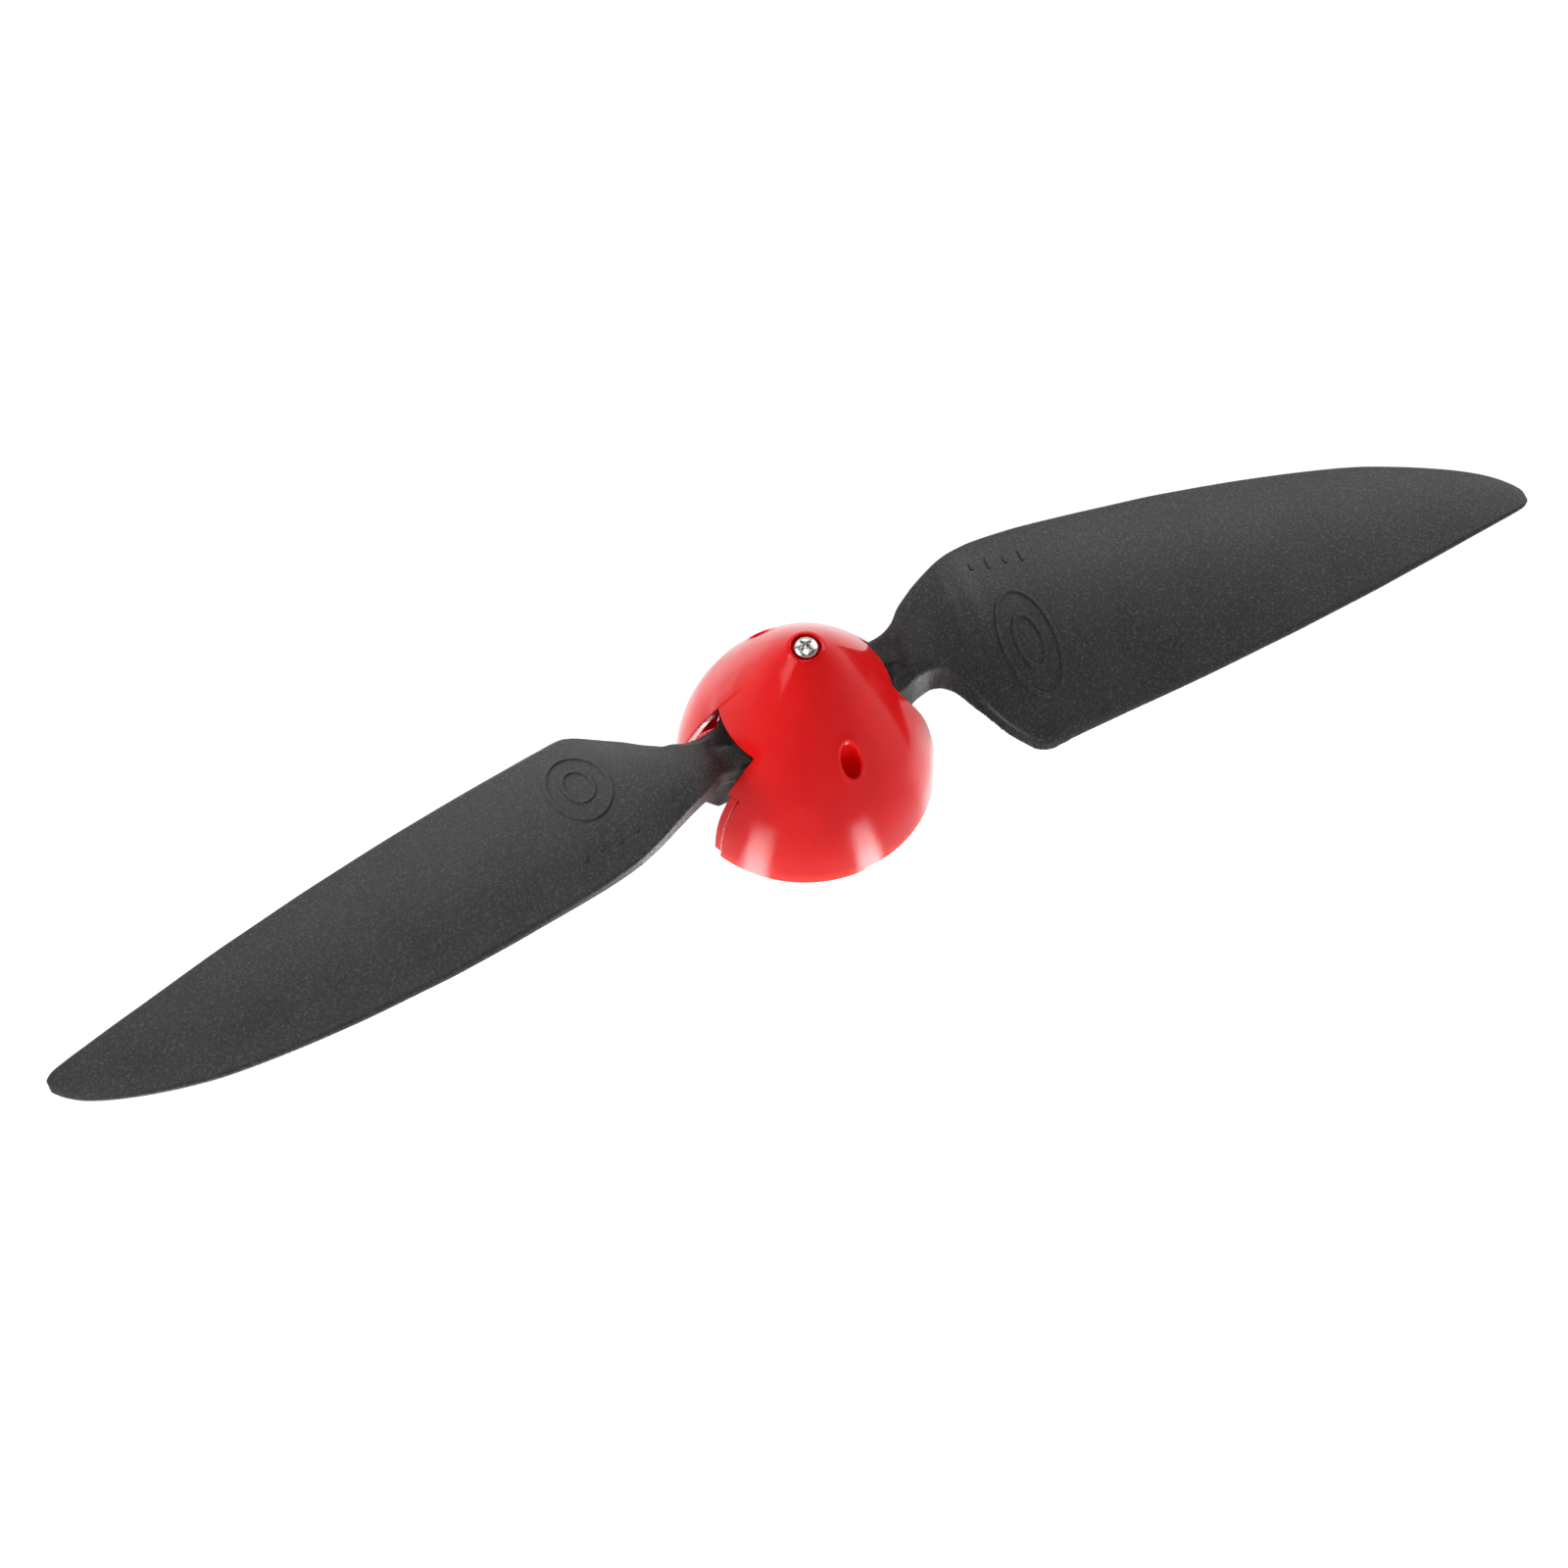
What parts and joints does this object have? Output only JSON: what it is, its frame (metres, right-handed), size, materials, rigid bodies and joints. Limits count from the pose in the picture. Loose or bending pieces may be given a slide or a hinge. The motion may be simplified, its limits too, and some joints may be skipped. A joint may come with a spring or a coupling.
{
  "type": "folding propeller",
  "caption": "Folding propeller with twisted blades hinged in a hub yoke, under a bullet spinner held by a nose screw.",
  "frame": {"origin": "centre of the flat rear face of the hub, on the shaft axis, which is also the lowest level of the part", "axes": "+Z along the shaft axis towards the spinner's nose, +X along the right blade, +Y towards that blade's leading edge"},
  "size_m": [0.2032, 0.0324, 0.0343],
  "materials": {
    "spinner_red": "glossy moulded red plastic, slightly translucent at thin edges",
    "blade_black": "matte black moulded plastic with a fine spark-eroded grain",
    "hub_black": "satin black moulded nylon",
    "screw_steel": "bright nickel-plated steel",
    "dark_steel": "black-oxide steel",
    "brass": "turned brass"
  },
  "bodies": {
    "hub": {"spinner_cone": "spinner_red", "spinner_backplate": "spinner_red", "hub_yoke": "hub_black", "shaft_insert": "brass", "grub_screw_a": "dark_steel", "grub_screw_b": "dark_steel", "spinner_post": "brass", "post_washer": "screw_steel", "nose_screw": "screw_steel", "backplate_screw_a": "screw_steel", "backplate_screw_b": "screw_steel", "hinge_screw_right": "screw_steel", "hinge_screw_left": "screw_steel", "hinge_nut_right": "screw_steel", "hinge_nut_left": "screw_steel", "hinge_washer_right": "screw_steel", "hinge_washer_left": "screw_steel"},
    "right_blade": {"blade_right": "blade_black", "blade_bush_right": "brass"},
    "left_blade": {"blade_left": "blade_black", "blade_bush_left": "brass"}
  },
  "joints": [
    {"name": "right_blade_fold", "type": "hinge", "parent": "hub", "child": "right_blade", "pos_m": [0.0076, 0, 0.0159], "axis": [0, 1, 0], "range_deg": [-12, 54]},
    {"name": "left_blade_fold", "type": "hinge", "parent": "hub", "child": "left_blade", "pos_m": [-0.0076, 0, 0.0159], "axis": [0, -1, 0], "range_deg": [-12, 54]}
  ]
}
